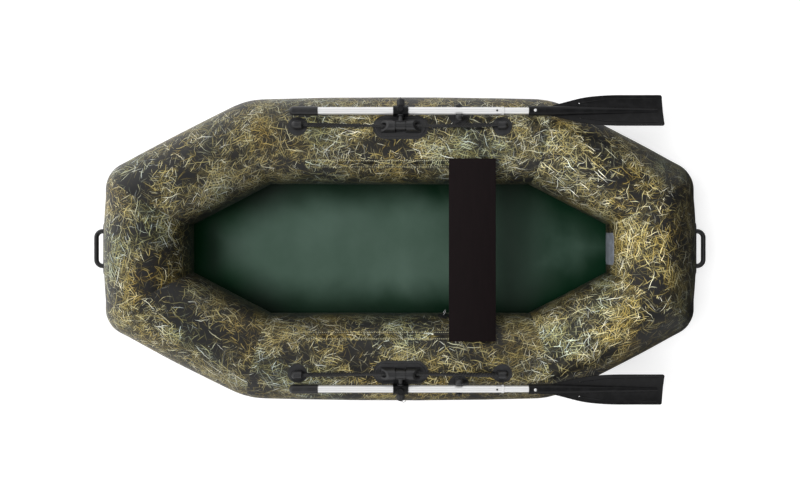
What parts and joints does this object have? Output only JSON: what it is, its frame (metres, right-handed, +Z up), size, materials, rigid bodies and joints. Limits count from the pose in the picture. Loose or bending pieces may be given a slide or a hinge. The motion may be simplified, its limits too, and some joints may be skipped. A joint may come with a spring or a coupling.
{
  "type": "inflatable rowing boat",
  "caption": "Inflatable rowing boat: eight-sided tube ring, fabric floor, sliding plank seat, oars stowed on the side tubes in turning rowlocks, grab ropes and carrying handles.",
  "frame": {"origin": "on the ground under the middle of the hull", "axes": "+X to the bow, +Y to port, +Z up"},
  "size_m": [2.506, 1.2358, 0.4012],
  "materials": {
    "hull_print": "satin coated cloth with a dry grass print",
    "floor_cloth": "satin coated cloth",
    "black_cloth": "satin coated cloth",
    "black_rope": "twisted fibre",
    "black_rubber": "satin",
    "black_plastic": "fine grained moulding",
    "white_plastic": "satin",
    "dark_plank": "dark film-faced plywood, satin",
    "oar_alloy": "drawn tube, satin",
    "steel": "plain wire"
  },
  "bodies": {
    "hull": {"side_tube_port": "hull_print", "side_tube_starboard": "hull_print", "bow_quarter_tube_port": "hull_print", "bow_quarter_tube_starboard": "hull_print", "bow_tube": "hull_print", "stern_quarter_tube_port": "hull_print", "stern_quarter_tube_starboard": "hull_print", "stern_tube": "hull_print", "floor_sheet": "floor_cloth", "seat_rail_port": "hull_print", "seat_rail_starboard": "hull_print", "rowlock_base_port": "black_plastic", "rowlock_base_starboard": "black_plastic", "rowlock_axle_port": "black_plastic", "rowlock_axle_starboard": "black_plastic", "oar_keeper_port": "black_plastic", "oar_keeper_starboard": "black_plastic", "rope_fitting_fore_port": "black_plastic", "rope_fitting_fore_starboard": "black_plastic", "rope_fitting_aft_port": "black_plastic", "rope_fitting_aft_starboard": "black_plastic", "grab_rope_port": "black_rope", "grab_rope_starboard": "black_rope", "bow_handle": "black_rubber", "stern_handle": "black_rubber", "valve_port": "black_plastic", "valve_starboard": "black_plastic", "lashing_patch": "black_cloth", "lashing_ring": "steel"},
    "seat": {"seat_plank": "dark_plank", "seat_runner_port": "black_plastic", "seat_runner_starboard": "black_plastic"},
    "oar_port": {"rowlock_knuckle_port": "black_plastic", "oar_clamp_port": "black_plastic", "pin_cap_port": "black_plastic", "oar_grip_port": "black_rubber", "oar_upper_tube_port": "oar_alloy", "oar_collar_port": "white_plastic", "oar_lower_tube_port": "oar_alloy", "oar_blade_port": "black_plastic"},
    "oar_starboard": {"rowlock_knuckle_starboard": "black_plastic", "oar_clamp_starboard": "black_plastic", "pin_cap_starboard": "black_plastic", "oar_grip_starboard": "black_rubber", "oar_upper_tube_starboard": "oar_alloy", "oar_collar_starboard": "white_plastic", "oar_lower_tube_starboard": "oar_alloy", "oar_blade_starboard": "black_plastic"}
  },
  "joints": [
    {"name": "seat_slide", "type": "slide", "parent": "hull", "child": "seat", "axis": [-1, 0, 0], "range_m": [0, 0.56]},
    {"name": "oar_lift_port", "type": "hinge", "parent": "hull", "child": "oar_port", "pos_m": [0.003, 0.47814, 0.38017], "axis": [1, 0, 0], "range_deg": [0, 190]},
    {"name": "oar_lift_starboard", "type": "hinge", "parent": "hull", "child": "oar_starboard", "pos_m": [0.003, -0.47814, 0.38017], "axis": [-1, 0, 0], "range_deg": [0, 190]}
  ]
}
